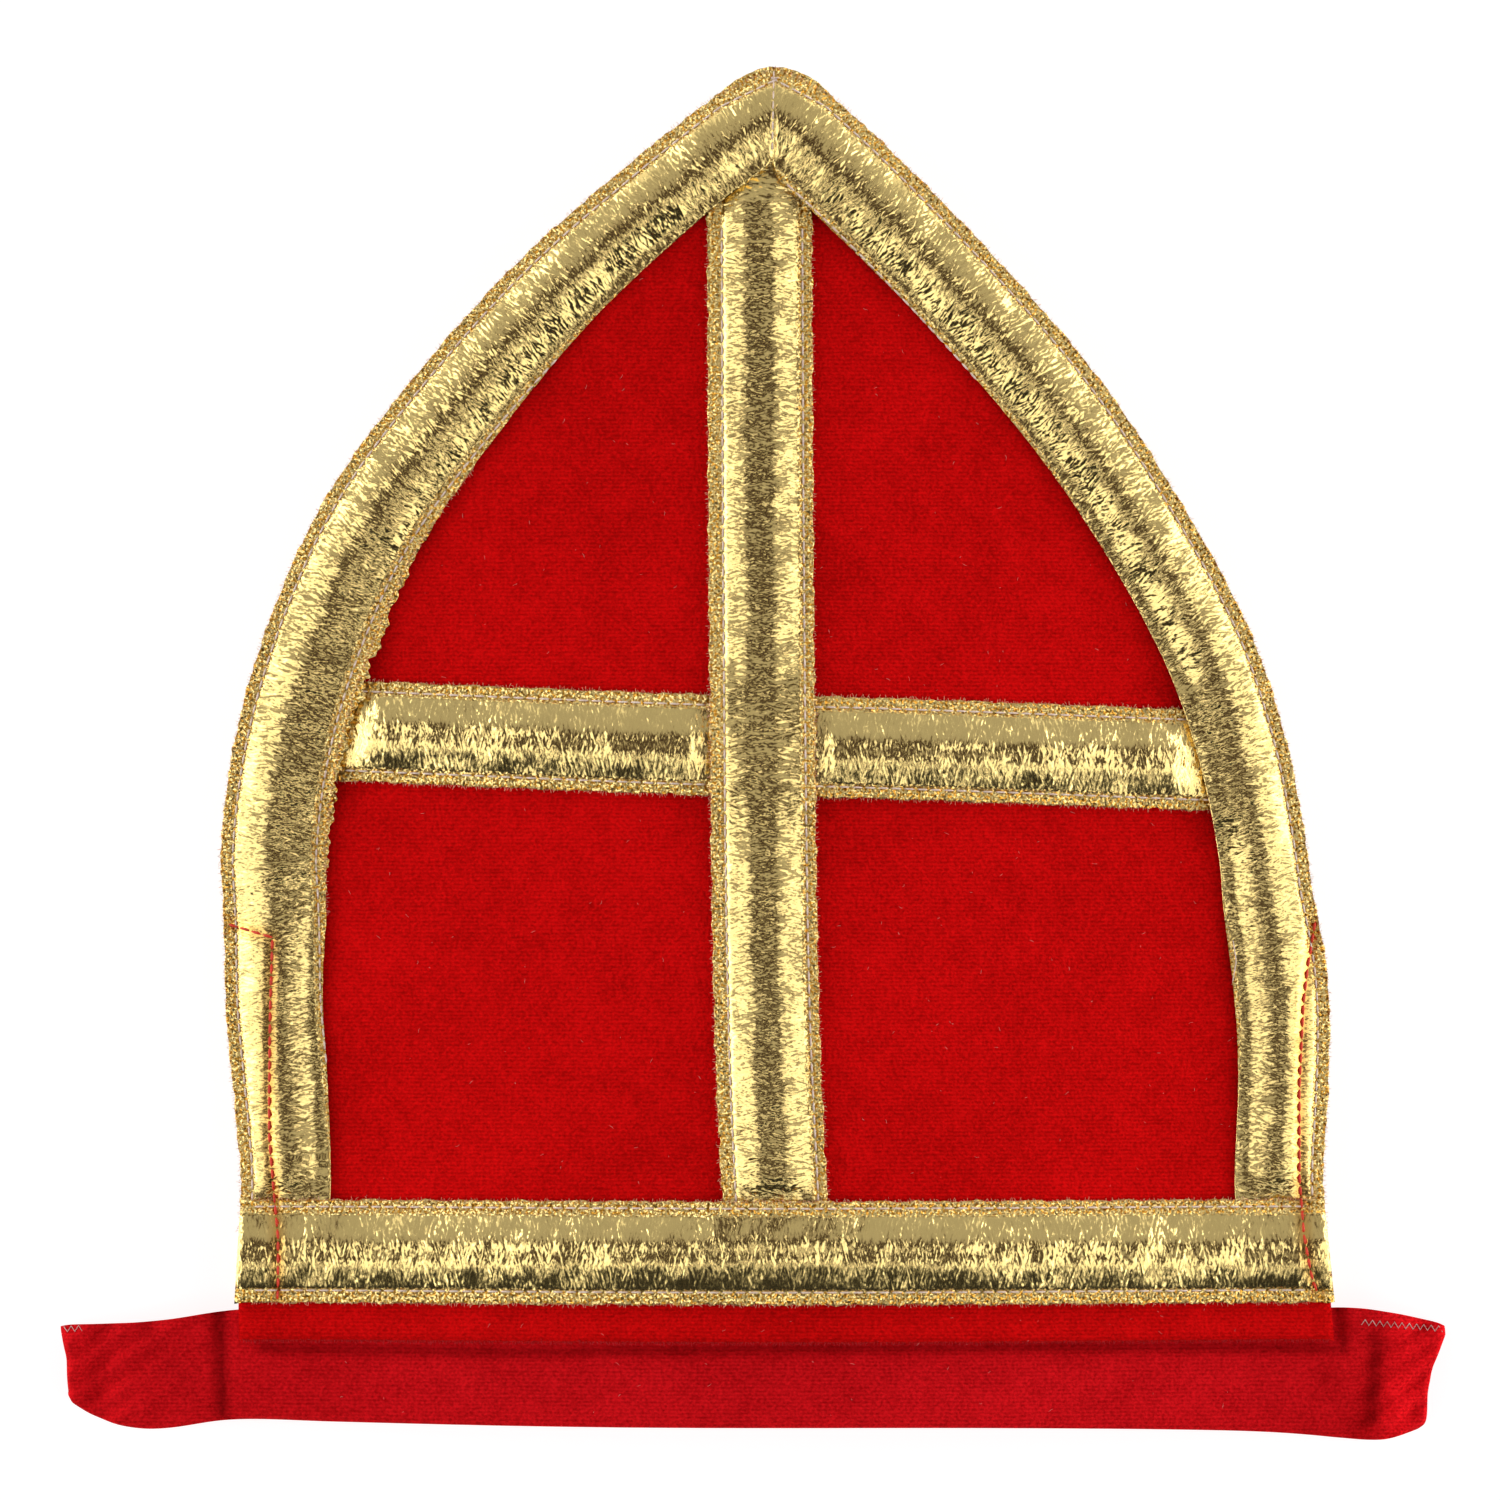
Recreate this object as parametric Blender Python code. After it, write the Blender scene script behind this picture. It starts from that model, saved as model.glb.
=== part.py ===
"""A bishop mitre of red velour and padded gold ribbon, lying flat on its back panel.

Metres. +X is the wearer's left side, +Y runs from the mouth to the point, and +Z is up from the surface.
The origin is on that surface, under the middle of the base ribbon.
"""

import math

import bpy
from mathutils import Vector

# The panels, both cut to one outline.
APEX_RISE = 0.2553
HALF_WIDTH = 0.1180
HEM_DROP = 0.0194
PANEL_THICK = 0.0016
PANEL_INSET = 0.0008

# The gold ribbon: a padded middle between two flat stitched edges.
RIBBON_WIDTH = 0.0225
RIBBON_EDGE_WIDTH = 0.0030
RIBBON_EDGE_THICK = 0.0010
RIBBON_THICK = 0.0035
BASE_RIBBON_WIDTH = 0.0222
CROSSBAR_WIDTH = 0.0216
TUCK = 0.0070
TOP_TUCK = 0.0030
NOTCH_DEPTH = 0.93
PADDING_FULLNESS = 2.4
PRESSED_FULLNESS = 1.4

# How far the front stands off the back: at the mouth, at the two points, and over the layers in the side seam.
MOUTH_RISE = 0.0240
TIP_RISE = 0.0100
SEAM_TOP = 0.0700
SEAM_INSET = 0.0085
BULK_FADE = 0.0500
DOME_POWER = 1.5

# The headband: a closed loop of doubled velour, pressed flat, longer than the mitre is wide.
BAND_WIDTH = 0.0238
BAND_THICK = 0.0020
FLAP_LEFT = 0.0386
FLAP_RIGHT = 0.0252
BAND_TUCK = 0.0056
BAND_LAP = 0.0012
BAND_FOLD_GAP = 0.0016
BAND_END_HEIGHT = 0.0034
BAND_BACK_SAG = 0.0036
BAND_FRONT_SAG = 0.0020
LAP_FADE = 0.0180
SAG_START = 0.0040
FLAP_START = 0.0070

# Clearances between sewn pieces, and how a ribbon steps over the one below it or flattens beside the one above.
CLOTH_GAP = 0.0003
DOME_GAP = 0.0005
STEP_CLEARANCE = 0.0002
COVER_MARGIN = 0.0010
STEP_MARGIN = 0.0032
COVER_RAMP = 0.0035
BEND_MARGIN = 0.0015

# Mesh spacing: along open stretches, and where ribbons cross, end or turn.
FRONT_STEP = 0.0120
BACK_STEP = 0.0160
CLOSE_STEP = 0.0028
ARCH_CLOSE_STEP = 0.0036
PANEL_STEP = 0.0145
PANEL_CLOSE_STEP = 0.0080
FRONT_COLUMNS = 16
BACK_COLUMNS = 2
BAND_STEPS = 28

# Each edge of the outline, from the hem up: rise as a share of APEX_RISE, out as a share of HALF_WIDTH,
# and the width that shows of the ribbon sewn along it, as a share of RIBBON_WIDTH.
LEFT_EDGE = [
    dict(rise=-0.076, out=1.000, ribbon=0.85),
    dict(rise=-0.020, out=1.002, ribbon=0.85),
    dict(rise=0.051, out=0.990, ribbon=0.86),
    dict(rise=0.152, out=1.009, ribbon=0.92),
    dict(rise=0.228, out=1.024, ribbon=0.94),
    dict(rise=0.279, out=1.019, ribbon=0.98),
    dict(rise=0.330, out=1.029, ribbon=1.03),
    dict(rise=0.432, out=1.002, ribbon=1.05),
    dict(rise=0.533, out=0.938, ribbon=1.07),
    dict(rise=0.635, out=0.838, ribbon=1.03),
    dict(rise=0.736, out=0.676, ribbon=0.97),
    dict(rise=0.838, out=0.477, ribbon=0.90),
    dict(rise=0.922, out=0.267, ribbon=0.84),
    dict(rise=0.973, out=0.127, ribbon=0.84),
    dict(rise=0.992, out=0.070, ribbon=0.84),
    dict(rise=1.000, out=0.015, ribbon=0.90),
]
RIGHT_EDGE = [
    dict(rise=-0.076, out=1.012, ribbon=0.84),
    dict(rise=-0.020, out=1.002, ribbon=0.84),
    dict(rise=0.051, out=0.986, ribbon=0.85),
    dict(rise=0.152, out=0.998, ribbon=0.87),
    dict(rise=0.245, out=0.995, ribbon=0.93),
    dict(rise=0.292, out=0.968, ribbon=0.88),
    dict(rise=0.330, out=0.960, ribbon=0.85),
    dict(rise=0.432, out=0.918, ribbon=0.86),
    dict(rise=0.533, out=0.843, ribbon=0.87),
    dict(rise=0.635, out=0.721, ribbon=0.87),
    dict(rise=0.736, out=0.577, ribbon=0.91),
    dict(rise=0.838, out=0.386, ribbon=0.92),
    dict(rise=0.922, out=0.209, ribbon=0.94),
    dict(rise=0.973, out=0.090, ribbon=0.94),
    dict(rise=0.992, out=0.042, ribbon=0.94),
    dict(rise=1.000, out=-0.015, ribbon=0.90),
]
TOP_ROW_RISE = 0.9965

# Centre lines of the two straight ribbons between their tucked ends: across as a share of HALF_WIDTH,
# rise as a share of APEX_RISE.
UPRIGHT_LOW_ACROSS = -0.013
UPRIGHT_TOP_ACROSS = -0.044
UPRIGHT_MIDDLE = [
    dict(across=-0.031, rise=0.203),
    dict(across=-0.040, rise=0.533),
]
CROSSBAR_LEFT_RISE = 0.440
CROSSBAR_RIGHT_RISE = 0.413
CROSSBAR_MIDDLE = [
    dict(across=-0.150, rise=0.427),
    dict(across=0.140, rise=0.4245),
]

# The headband's edges: along as a share of BAND_LEFT or BAND_RIGHT, drop of each edge below the top line
# as a share of BAND_WIDTH. The two ends slant where the loop folds round.
BAND_SHAPE = [
    dict(along=-1.000, top=0.12, bottom=0.70),
    dict(along=-0.975, top=0.09, bottom=0.86),
    dict(along=-0.930, top=0.09, bottom=1.01),
    dict(along=-0.860, top=0.07, bottom=1.06),
    dict(along=-0.760, top=-0.05, bottom=0.93),
    dict(along=-0.690, top=-0.06, bottom=0.96),
    dict(along=-0.300, top=0.00, bottom=1.00),
    dict(along=0.300, top=0.00, bottom=1.01),
    dict(along=0.720, top=0.00, bottom=1.06),
    dict(along=0.840, top=-0.08, bottom=1.12),
    dict(along=0.900, top=-0.04, bottom=1.16),
    dict(along=0.950, top=0.02, bottom=1.14),
    dict(along=0.985, top=0.08, bottom=1.04),
    dict(along=1.000, top=0.14, bottom=0.95),
]
# The band's section: depth as a share of its height, and half thickness as a share of BAND_THICK.
BAND_SECTION = [
    dict(depth=0.00, half=0.30),
    dict(depth=0.10, half=0.50),
    dict(depth=0.45, half=0.50),
    dict(depth=0.86, half=0.50),
    dict(depth=0.97, half=0.34),
]

RED = (0.52, 0.004, 0.012, 1.0)
GOLD = (0.72, 0.50, 0.14, 1.0)

FRONT = 1
BACK = -1
BACK_UNDER = RIBBON_THICK + CLOTH_GAP
BACK_TOP = BACK_UNDER + PANEL_THICK
FRONT_UNDER = BACK_TOP + CLOTH_GAP
RIBBON_STEP = RIBBON_EDGE_THICK + CLOTH_GAP + STEP_CLEARANCE
SEAM_BULK = 2 * BAND_THICK + CLOTH_GAP + DOME_GAP
BAND_LEFT = HALF_WIDTH + FLAP_LEFT
BAND_RIGHT = HALF_WIDTH + FLAP_RIGHT
BAND_TOP_DROP = HEM_DROP - BAND_TUCK


def smooth(value):
    """0 to 1 with level ends."""
    value = max(0.0, min(1.0, value))
    return value * value * (3 - 2 * value)


def read_table(rows, key, value, at):
    """The column `value` at `at` in the column `key`, on a smooth curve through the rows."""
    keys = [row[key] for row in rows]
    values = [row[value] for row in rows]
    at = max(keys[0], min(keys[-1], at))
    i = max(j for j in range(len(keys) - 1) if keys[j] <= at)

    def slope(j):
        lo, hi = max(j - 1, 0), min(j + 1, len(keys) - 1)
        return (values[hi] - values[lo]) / (keys[hi] - keys[lo])

    span = keys[i + 1] - keys[i]
    t = (at - keys[i]) / span
    return (
        values[i] * (1 + 2 * t) * (1 - t) ** 2
        + values[i + 1] * t * t * (3 - 2 * t)
        + span * (slope(i) * t * (1 - t) ** 2 - slope(i + 1) * t * t * (1 - t))
    )


def edges_at(y):
    """The left and right edge of the outline, in X, at height y."""
    rise = y / APEX_RISE
    left = -HALF_WIDTH * read_table(LEFT_EDGE, "rise", "out", rise)
    right = HALF_WIDTH * read_table(RIGHT_EDGE, "rise", "out", rise)
    return left, right


def stand_off(x, y):
    """How far the front panel's under face stands above its place in the side seam."""
    left, right = edges_at(y)
    half = (right - left) / 2
    flat_edge = SEAM_INSET * min(1.0, half / HALF_WIDTH)
    across = min(1.0, abs(x - (left + right) / 2) / max(half - flat_edge, 1e-6))
    crown = MOUTH_RISE + (TIP_RISE - MOUTH_RISE) * smooth(y / APEX_RISE)
    bulk = SEAM_BULK * smooth((BULK_FADE - y - HEM_DROP / 2) / BULK_FADE)
    lap_side = smooth((-x / HALF_WIDTH - 0.7) / 0.2) * BAND_LAP
    bulk *= 1 + lap_side / SEAM_BULK
    free = TIP_RISE * smooth((y - SEAM_TOP) / (APEX_RISE - SEAM_TOP))
    edge = max(bulk, free)
    return edge + (crown - edge) * (1 - across**2) ** DOME_POWER


def front_under(x, y):
    return FRONT_UNDER + stand_off(x, y)


def front_top(x, y):
    return front_under(x, y) + PANEL_THICK


def make_object(name, points, faces, colour, metallic, roughness):
    """A closed mesh object with its own material."""
    mesh = bpy.data.meshes.new(name)
    mesh.from_pydata(points, [], faces)
    mesh.update()
    obj = bpy.data.objects.new(name, mesh)
    bpy.context.scene.collection.objects.link(obj)
    material = bpy.data.materials.new(name)
    material.use_nodes = True
    shader = material.node_tree.nodes["Principled BSDF"]
    shader.inputs["Base Color"].default_value = colour
    shader.inputs["Metallic"].default_value = metallic
    shader.inputs["Roughness"].default_value = roughness
    mesh.materials.append(material)
    mesh.shade_smooth()
    mesh.set_sharp_from_angle(angle=math.radians(50))
    return obj


def tube_faces(count, size, closed):
    """Faces that join `count` sections of `size` points each, in a ring or with two end caps."""
    faces = []
    for i in range(count if closed else count - 1):
        a, b = i * size, (i + 1) % count * size
        for j in range(size):
            k = (j + 1) % size
            faces.append((a + j, a + k, b + k, b + j))
    if not closed:
        faces.append(tuple(reversed(range(size))))
        faces.append(tuple((count - 1) * size + j for j in range(size)))
    return faces


def add_velour(name, points, faces):
    return make_object(name, points, faces, RED, 0.0, 0.9)


def add_gold(name, points, faces):
    return make_object(name, points, faces, GOLD, 1.0, 0.3)


# The panels.


def panel_rows(step):
    """Heights of the panel's rows, from the hem to its narrow top row, closer over the band and the point."""
    low, high = -HEM_DROP, TOP_ROW_RISE * APEX_RISE - PANEL_INSET
    round_start = 0.94 * APEX_RISE
    rows = spaced(low, round_start, step, PANEL_CLOSE_STEP, [(0.0, 0.85 * BULK_FADE)])
    return rows + [round_start + (high - round_start) * t for t in (0.35, 0.65, 0.85, 1)]


def make_panel(name, rows, columns, under, top):
    """A sheet between two height functions, cut to the outline: each row runs from edge to edge."""
    points, faces = [], []
    shares = [2 * j / columns - 1 for j in range(columns + 1)]
    for y in rows:
        left, right = edges_at(y)
        inset = min(PANEL_INSET, (right - left) / 4)
        left, right = left + inset, right - inset
        middle, half = (left + right) / 2, (right - left) / 2
        places = [middle + half * (share + math.sin(share * math.pi / 2)) / 2 for share in shares]
        points += [(x, y, under(x, y)) for x in places]
        points += [(x, y, top(x, y)) for x in places]
    wide = columns + 1
    for i in range(len(rows) - 1):
        a, b = i * 2 * wide, (i + 1) * 2 * wide
        for j in range(columns):
            faces.append((a + j, b + j, b + j + 1, a + j + 1))
            faces.append((a + wide + j, a + wide + j + 1, b + wide + j + 1, b + wide + j))
        faces.append((a, a + wide, b + wide, b))
        faces.append((a + columns, b + columns, b + wide + columns, a + wide + columns))
    last = (len(rows) - 1) * 2 * wide
    for j in range(columns):
        faces.append((j, j + 1, wide + j + 1, wide + j))
        faces.append((last + j, last + wide + j, last + wide + j + 1, last + j + 1))
    add_velour(name, points, faces)


def back_under(x, y):
    return BACK_UNDER


def back_top(x, y):
    return BACK_TOP


def make_panels():
    make_panel("front_panel", panel_rows(PANEL_STEP), FRONT_COLUMNS, front_under, front_top)
    make_panel("back_panel", panel_rows(PANEL_STEP), BACK_COLUMNS, back_under, back_top)


# The ribbons. Each is a list of rulings, from one edge of the ribbon to the other.


def arch_outline(step):
    """The outer edge from the left hem over the point to the right hem, with each point's ribbon width."""
    fine = 400
    line = []
    for rows, sign in ((LEFT_EDGE, -1), (RIGHT_EDGE, 1)):
        side = []
        low = (BASE_RIBBON_WIDTH / 2 - TUCK) / APEX_RISE
        for i in range(fine + 1):
            rise = low + (1 - low) * (1 - (1 - i / fine) ** 2)
            out = read_table(rows, "rise", "out", rise)
            wide = read_table(rows, "rise", "ribbon", rise)
            side.append((Vector((sign * out * HALF_WIDTH, rise * APEX_RISE)), wide * RIBBON_WIDTH))
        line += side if sign < 0 else side[-2::-1]
    lengths = [0.0]
    for (a, _), (b, _) in zip(line, line[1:]):
        lengths.append(lengths[-1] + (b - a).length)
    top = lengths[fine]
    picked = []
    i = 0
    for place in arch_places(top, lengths[-1], step):
        while i < len(line) - 2 and lengths[i + 1] < place:
            i += 1
        t = (place - lengths[i]) / max(lengths[i + 1] - lengths[i], 1e-9)
        (a, wa), (b, wb) = line[i], line[i + 1]
        near = line[max(0, i - 6)][0], line[min(len(line) - 1, i + 7)][0]
        tangent = (near[1] - near[0]).normalized()
        picked.append((a.lerp(b, t), tangent, wa + (wb - wa) * t))
    return picked


def arch_places(top, whole, step):
    """Stations along the arch: close together round the point, where it crosses the bar and at its ends."""
    bar = (CROSSBAR_LEFT_RISE + CROSSBAR_RIGHT_RISE) / 2 * APEX_RISE - BASE_RIBBON_WIDTH / 2 + TUCK
    across_bar = CROSSBAR_WIDTH / 2 + STEP_MARGIN + COVER_RAMP + 0.01
    round_top = 1.3 * RIBBON_WIDTH
    ends = 2 * TUCK
    zones = [(0.0, ends), (bar, across_bar), (top, round_top), (whole - bar, across_bar), (whole, ends)]
    return spaced(0.0, whole, step, ARCH_CLOSE_STEP, zones)


def spaced(start, end, step, close_step, zones):
    """Places from start to end: close_step apart within each zone (its middle, its half length)."""
    places = [start]
    while places[-1] < end - close_step / 2:
        at = places[-1]
        close = any(abs(at - middle) < half for middle, half in zones)
        ahead = [middle - half for middle, half in zones if at < middle - half]
        next_zone = min(ahead) + 1e-6 if ahead else end
        places.append(min(at + (close_step if close else step), end if close else next_zone, end))
    places[-1] = end
    return places


def arch_rulings(step):
    """The ribbon over the arch. Round the point its rulings fan out from the notch below it."""
    notch = Vector((UPRIGHT_TOP_ACROSS / 2 * HALF_WIDTH, APEX_RISE - NOTCH_DEPTH * RIBBON_WIDTH))
    rulings = []
    for place, tangent, wide in arch_outline(step):
        inner = place + Vector((tangent.y, -tangent.x)) * wide
        past = inner.y > notch.y or (inner.x - notch.x) * (place.x - notch.x) < 0
        if past:
            inner = notch + (place - notch) * 0.03
        rulings.append((inner, place))
    return rulings


def upright_line():
    """The upright's centre line, from its end under the base ribbon to its end under the arch ribbon."""
    low = BASE_RIBBON_WIDTH / 2 - TUCK
    high = APEX_RISE - NOTCH_DEPTH * RIBBON_WIDTH + TOP_TUCK
    line = [Vector((UPRIGHT_LOW_ACROSS * HALF_WIDTH, low))]
    line += [Vector((row["across"] * HALF_WIDTH, row["rise"] * APEX_RISE)) for row in UPRIGHT_MIDDLE]
    return line + [Vector((UPRIGHT_TOP_ACROSS * HALF_WIDTH, high))]


def crossbar_line():
    """The crossbar's centre line. Each end lies TUCK inside the inner edge of the arch ribbon."""
    ends = []
    for rows, sign, rise in ((LEFT_EDGE, -1, CROSSBAR_LEFT_RISE), (RIGHT_EDGE, 1, CROSSBAR_RIGHT_RISE)):
        out = read_table(rows, "rise", "out", rise) * HALF_WIDTH
        wide = read_table(rows, "rise", "ribbon", rise) * RIBBON_WIDTH
        ends.append(Vector((sign * (out - wide + TUCK), rise * APEX_RISE)))
    middle = [Vector((row["across"] * HALF_WIDTH, row["rise"] * APEX_RISE)) for row in CROSSBAR_MIDDLE]
    return [ends[0]] + middle + [ends[1]]


def line_rulings(line, wide, step, ends, crossing):
    """A straight ribbon of one width: rulings lie closer near both ends and near the crossing."""
    lengths = [0.0]
    for a, b in zip(line, line[1:]):
        lengths.append(lengths[-1] + (b - a).length)
    table = [dict(at=d, x=p.x, y=p.y) for d, p in zip(lengths, line)]
    whole = lengths[-1]
    across = max(RIBBON_WIDTH, CROSSBAR_WIDTH) / 2 + STEP_MARGIN + COVER_RAMP + CLOSE_STEP
    zones = [(0.0, ends), (crossing, across), (whole, ends)]
    rulings = []
    for at in spaced(0.0, whole, step, CLOSE_STEP, zones):
        here, ahead, behind = (
            Vector([read_table(table, "at", axis, at + shift) for axis in "xy"]) for shift in (0, 0.001, -0.001)
        )
        tangent = (ahead - behind).normalized()
        side = Vector((-tangent.y, tangent.x)) * wide / 2
        rulings.append((here + side, here - side))
    return rulings


def base_rulings(step):
    """The ribbon along the base, from side to side."""
    half = BASE_RIBBON_WIDTH / 2
    ramp = STEP_MARGIN + COVER_RAMP
    inner = HALF_WIDTH - RIBBON_WIDTH * LEFT_EDGE[2]["ribbon"]
    zones = [(UPRIGHT_LOW_ACROSS * HALF_WIDTH, RIBBON_WIDTH / 2 + ramp), (-inner, ramp), (inner, ramp)]
    rulings = []
    for x in spaced(-HALF_WIDTH, HALF_WIDTH, step, CLOSE_STEP, zones):
        ends = []
        for y in (half, -half):
            left, right = edges_at(y)
            ends.append(Vector((-x / HALF_WIDTH * left if x < 0 else x / HALF_WIDTH * right, y)))
        rulings.append(tuple(ends))
    return rulings


def outside(point, rulings):
    """How far a point lies outside a ribbon's area; below zero inside it."""
    best = 1.0
    for (a, b), (c, d) in zip(rulings, rulings[1:]):
        start, end = (a + b) / 2, (c + d) / 2
        along = end - start
        length = along.length
        if length < 1e-7:
            continue
        along /= length
        offset = point - start
        forward = offset.dot(along)
        sideways = abs(offset.x * along.y - offset.y * along.x)
        half = ((a - b).length + (c - d).length) / 4
        best = min(best, max(sideways - half, -forward, forward - length))
    return best


def crown_at(share, wide, pressed):
    """The padded middle's height across a ribbon, 0 at its stitched edges and 1 at its crest."""
    from_edge = min(share, 1 - share) * wide
    inward = (from_edge - RIBBON_EDGE_WIDTH) / max(wide / 2 - RIBBON_EDGE_WIDTH, 1e-6)
    crown = 1 - (1 - max(0.0, inward)) ** PADDING_FULLNESS
    return min(1.0, crown * (PRESSED_FULLNESS if pressed else 1.0))


def make_ribbon(name, rulings, side, below=(), above=()):
    """A padded ribbon on one panel: it steps up over ribbons below it, and lies flat under ribbons above."""
    edge = RIBBON_EDGE_WIDTH / RIBBON_WIDTH
    crest = [0.23, 0.5, 0.77] if side == FRONT else [0.30, 0.70]
    top_shares = [0, edge] + crest + [1 - edge, 1]
    points = []
    gap = DOME_GAP if side == FRONT else CLOTH_GAP
    for a, b in rulings:
        wide = (b - a).length
        bend = min(0.6, (TUCK + BEND_MARGIN) / wide) if len(below) == 2 else 0.5
        section = []
        for share in top_shares:
            at = a.lerp(b, share)
            lift, flat = layers_at(at, below, above)
            padding = (RIBBON_THICK - RIBBON_EDGE_THICK) * crown_at(share, wide, side == BACK)
            padding *= flat * (1 - lift * RIBBON_STEP / (RIBBON_THICK - RIBBON_EDGE_THICK))
            section.append((at, gap + lift * RIBBON_STEP + RIBBON_EDGE_THICK + padding))
        for share in (1, bend, 0):
            at = a.lerp(b, share)
            lift, _ = layers_at(at, below, above)
            section.append((at, gap + lift * RIBBON_STEP))
        for at, height in section:
            ground = front_top(at.x, at.y) if side == FRONT else BACK_UNDER
            points.append((at.x, at.y, ground + side * height))
    faces = tube_faces(len(rulings), len(top_shares) + 3, False)
    face_outward(add_gold(name, points, faces))


def layers_at(at, below, above):
    """(share of one step up over ribbons below, share of padding left beside ribbons above)."""
    lift, flat = 0.0, 1.0
    for other in below:
        lift = max(lift, smooth(1 - (outside(at, other) - STEP_MARGIN) / COVER_RAMP))
    for other in above:
        flat = min(flat, smooth((outside(at, other) - COVER_MARGIN) / COVER_RAMP))
    return lift, flat


def face_outward(obj):
    """Turns a closed mesh's faces to point out of it."""
    volume = 0.0
    mesh = obj.data
    mesh.calc_loop_triangles()
    for triangle in mesh.loop_triangles:
        a, b, c = (mesh.vertices[i].co for i in triangle.vertices)
        volume += a.dot(b.cross(c))
    if volume < 0:
        mesh.flip_normals()


def make_ribbons(side, label, step):
    """The four ribbons of one panel, in the order that they are sewn on."""
    upright_path, crossbar_path = upright_line(), crossbar_line()
    meet_up = (crossbar_path[1].y + crossbar_path[2].y) / 2 - upright_path[0].y
    meet_across = upright_path[2].x - crossbar_path[0].x
    upright = line_rulings(upright_path, RIBBON_WIDTH, step, 1.4 * RIBBON_WIDTH, meet_up)
    crossbar = line_rulings(crossbar_path, CROSSBAR_WIDTH, step, 0.8 * RIBBON_WIDTH, meet_across)
    arch = arch_rulings(step)
    base = base_rulings(step)
    make_ribbon(label + "_crossbar", crossbar, side, above=(upright, arch))
    make_ribbon(label + "_upright", upright, side, below=(crossbar,), above=(arch, base))
    make_ribbon(label + "_arch_ribbon", arch, side, below=(crossbar, upright), above=(base,))
    make_ribbon(label + "_base_ribbon", base, side, below=(arch, upright))


# The headband.


def band_row(along, column):
    return read_table(BAND_SHAPE, "along", column, along) * BAND_WIDTH


def lap_at(x):
    """How much the lapped end thickens the front run: full at the panel's left side, gone further in."""
    return BAND_LAP * smooth(1 - (x - edges_at(-HEM_DROP)[0] - 0.001) / LAP_FADE)


def band_heights(x):
    """The middle heights of the band's back run and front run at x."""
    line = -BAND_TOP_DROP - BAND_THICK
    left, right = edges_at(line)
    inner = max(left, min(right, x))
    back = BACK_TOP + CLOTH_GAP + BAND_THICK / 2
    front = front_under(inner, line) - DOME_GAP - BAND_THICK / 2 - lap_at(x)
    end = -BAND_LEFT if x < 0 else BAND_RIGHT
    drop = smooth((abs(x - inner) - FLAP_START) / (abs(end - inner) - FLAP_START))
    end_front = BAND_END_HEIGHT + BAND_THICK + BAND_FOLD_GAP
    return back + (BAND_END_HEIGHT - back) * drop, front + (end_front - front) * drop


def band_stations():
    """Stations round the loop: (along, x, z, outward direction, sag), from the front run's left end."""
    radius = (BAND_THICK + BAND_FOLD_GAP) / 2
    ends = (-BAND_LEFT + radius + BAND_THICK / 2, BAND_RIGHT - radius - BAND_THICK / 2)
    xs = [ends[0] + (ends[1] - ends[0]) * i / BAND_STEPS for i in range(BAND_STEPS + 1)]
    stations = []
    for run in (FRONT, BACK):
        ordered = xs if run == FRONT else xs[::-1]
        for x in ordered:
            back, front = band_heights(x)
            z = front if run == FRONT else back
            back_next, front_next = band_heights(x + CLOTH_GAP)
            rise = ((front_next if run == FRONT else back_next) - z) / CLOTH_GAP
            outward = Vector((-rise, 1.0)).normalized() * run
            left, right = edges_at(-HEM_DROP)
            hang = 1 - 0.8 * smooth(max(left - x, x - right, 0.0) / 0.02)
            sag = (BAND_FRONT_SAG if run == FRONT else BAND_BACK_SAG) * hang
            stations.append((share_of(x), x, z, outward, sag))
        turn = ends[1] if run == FRONT else ends[0]
        back, front = band_heights(turn)
        middle, bend = (back + front) / 2, (front - back) / 2
        for angle in (30, 60, 90, 120, 150):
            a = math.radians(angle)
            direction = Vector((math.sin(a), math.cos(a))) * run
            x = turn + bend * direction.x
            stations.append((share_of(x), x, middle + bend * direction.y, direction, 0.0))
    return stations


def share_of(x):
    return x / BAND_LEFT if x < 0 else x / BAND_RIGHT


def make_headband():
    """The loop: a soft strip with a folded lower edge, lapped over itself at the left of the front run."""
    left_side = edges_at(-HEM_DROP)[0]
    points = []
    half_rows = [(row["depth"], row["half"]) for row in BAND_SECTION]
    section = half_rows + [(1.0, 0.0)] + [(depth, -half) for depth, half in half_rows[::-1]]
    stations = band_stations()
    for along, x, z, outward, sag in stations:
        top = -BAND_TOP_DROP - band_row(along, "top")
        bottom = -BAND_TOP_DROP - band_row(along, "bottom")
        lap = lap_at(x) if outward.y > 0 and x > left_side else 0.0
        for depth, half in section:
            y = top + (bottom - top) * depth
            offset = half * BAND_THICK + (lap if half > 0 else 0.0)
            hang = sag * smooth((-HEM_DROP - SAG_START - y) / (BAND_WIDTH * 0.6))
            points.append((x + outward.x * offset, y, z + outward.y * offset - hang))
    face_outward(add_velour("headband", points, tube_faces(len(stations), len(section), True)))


def main():
    for obj in list(bpy.data.objects):
        bpy.data.objects.remove(obj)
    make_panels()
    make_ribbons(BACK, "back", BACK_STEP)
    make_ribbons(FRONT, "front", FRONT_STEP)
    make_headband()


main()
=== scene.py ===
import math

import bmesh
import bpy
import numpy as np
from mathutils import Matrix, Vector
from mathutils.bvhtree import BVHTree


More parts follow.
